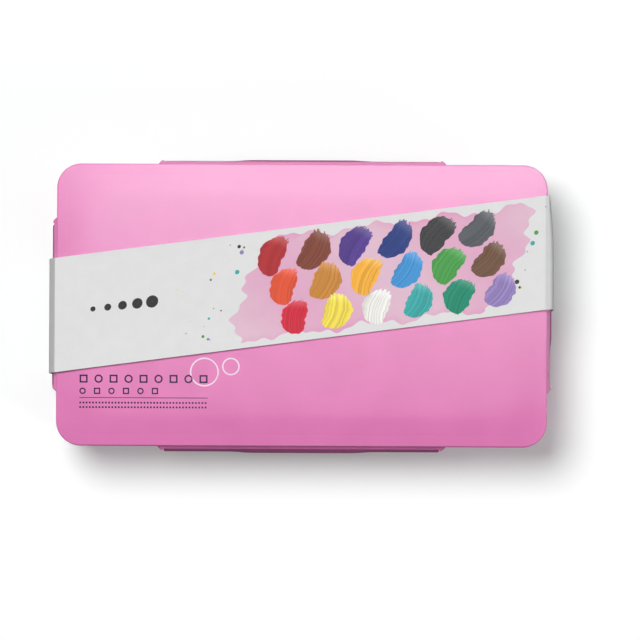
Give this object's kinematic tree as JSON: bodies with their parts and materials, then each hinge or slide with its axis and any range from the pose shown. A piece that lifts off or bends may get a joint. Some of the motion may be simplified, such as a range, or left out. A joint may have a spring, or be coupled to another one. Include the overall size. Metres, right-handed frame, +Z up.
{
  "type": "gouache paint set box",
  "caption": "Shallow pink plastic paint case with a lift-off lid, snap latches on every side, a slanted card band, paint cups and a brush trough inside.",
  "frame": {"origin": "on the table under the middle of the case, at the bottom centre of its bounding box", "axes": "+Z up out of the lid, +X along the long side, +Y away from the brush trough"},
  "size_m": [0.3152, 0.182, 0.0476],
  "materials": {
    "pink_plastic": "satin moulded pink plastic",
    "gasket": "soft translucent white silicone",
    "band_card": "printed white card with a faint sheen",
    "cup_plastic": "thin milky plastic",
    "peel_off_film": "white laminated film",
    "paint_01": "crimson red gouache, moist and slightly glossy",
    "paint_02": "burnt sienna gouache, moist and slightly glossy",
    "paint_03": "violet gouache, moist and slightly glossy",
    "paint_04": "indigo gouache, moist and slightly glossy",
    "paint_05": "black gouache, moist and slightly glossy",
    "paint_06": "dark grey gouache, moist and slightly glossy",
    "paint_07": "vermilion gouache, moist and slightly glossy",
    "paint_08": "yellow ochre gouache, moist and slightly glossy",
    "paint_09": "warm yellow gouache, moist and slightly glossy",
    "paint_10": "sky blue gouache, moist and slightly glossy",
    "paint_11": "green gouache, moist and slightly glossy",
    "paint_12": "umber gouache, moist and slightly glossy",
    "paint_13": "rose crimson gouache, moist and slightly glossy",
    "paint_14": "lemon yellow gouache, moist and slightly glossy",
    "paint_15": "white gouache, moist and slightly glossy",
    "paint_16": "zinc white gouache, moist and slightly glossy",
    "paint_17": "teal gouache, moist and slightly glossy",
    "paint_18": "emerald gouache, moist and slightly glossy"
  },
  "bodies": {
    "base": {"base_tray": "pink_plastic", "cup_01": "cup_plastic", "cup_02": "cup_plastic", "cup_03": "cup_plastic", "cup_04": "cup_plastic", "cup_05": "cup_plastic", "cup_06": "cup_plastic", "cup_07": "cup_plastic", "cup_08": "cup_plastic", "cup_09": "cup_plastic", "cup_10": "cup_plastic", "cup_11": "cup_plastic", "cup_12": "cup_plastic", "cup_13": "cup_plastic", "cup_14": "cup_plastic", "cup_15": "cup_plastic", "cup_16": "cup_plastic", "cup_17": "cup_plastic", "cup_18": "cup_plastic", "paint_01": "paint_01", "paint_02": "paint_02", "paint_03": "paint_03", "paint_04": "paint_04", "paint_05": "paint_05", "paint_06": "paint_06", "paint_07": "paint_07", "paint_08": "paint_08", "paint_09": "paint_09", "paint_10": "paint_10", "paint_11": "paint_11", "paint_12": "paint_12", "paint_13": "paint_13", "paint_14": "paint_14", "paint_15": "paint_15", "paint_16": "paint_16", "paint_17": "paint_17", "paint_18": "paint_18", "foil_row_back": "peel_off_film", "foil_row_middle": "peel_off_film", "foil_row_front": "peel_off_film"},
    "lid": {"lid_shell": "pink_plastic", "lid_gasket": "gasket"},
    "latch_front": {"latch_front": "pink_plastic"},
    "latch_back": {"latch_back": "pink_plastic"},
    "latch_left": {"latch_left": "pink_plastic"},
    "latch_right": {"latch_right": "pink_plastic"},
    "band_top": {"sleeve_top_panel": "band_card"},
    "band_left": {"sleeve_left_panel": "band_card"},
    "band_right": {"sleeve_right_panel": "band_card"},
    "band_back": {"sleeve_back_panel": "band_card"}
  },
  "joints": [
    {"name": "lid_lift", "type": "slide", "parent": "base", "child": "lid", "axis": [0, 0, 1], "range_m": [0, 0.03]},
    {"name": "latch_front_hinge", "type": "hinge", "parent": "lid", "child": "latch_front", "pos_m": [0, -0.08895, 0.0395], "axis": [-1, 0, 0], "range_deg": [0, 150]},
    {"name": "latch_back_hinge", "type": "hinge", "parent": "lid", "child": "latch_back", "pos_m": [0, 0.08895, 0.0395], "axis": [1, 0, 0], "range_deg": [0, 150]},
    {"name": "latch_left_hinge", "type": "hinge", "parent": "lid", "child": "latch_left", "pos_m": [-0.1539, 0, 0.0395], "axis": [0, 1, 0], "range_deg": [0, 150]},
    {"name": "latch_right_hinge", "type": "hinge", "parent": "lid", "child": "latch_right", "pos_m": [0.1539, 0, 0.0395], "axis": [0, -1, 0], "range_deg": [0, 150]},
    {"name": "band_slide", "type": "slide", "parent": "lid", "child": "band_top", "axis": [0, 1, 0], "range_m": [0, 0.14]},
    {"name": "band_left_fold", "type": "hinge", "parent": "band_top", "child": "band_left", "pos_m": [-0.1536, 0, 0.0473], "axis": [0, 1, 0], "range_deg": [0, 150]},
    {"name": "band_right_fold", "type": "hinge", "parent": "band_top", "child": "band_right", "pos_m": [0.1536, 0, 0.0473], "axis": [0, -1, 0], "range_deg": [0, 150]},
    {"name": "band_back_slide", "type": "slide", "parent": "base", "child": "band_back", "axis": [0, 1, 0], "range_m": [0, 0.14]}
  ],
  "couplings": [
    {"joint": "latch_front_hinge", "follows": "lid_lift", "rad_per_m": 87.26},
    {"joint": "latch_back_hinge", "follows": "lid_lift", "rad_per_m": 87.26},
    {"joint": "latch_left_hinge", "follows": "lid_lift", "rad_per_m": 87.26},
    {"joint": "latch_right_hinge", "follows": "lid_lift", "rad_per_m": 87.26},
    {"joint": "band_left_fold", "follows": "lid_lift", "rad_per_m": 87.26},
    {"joint": "band_right_fold", "follows": "lid_lift", "rad_per_m": 87.26},
    {"joint": "band_back_slide", "follows": "band_slide", "ratio": 1}
  ]
}
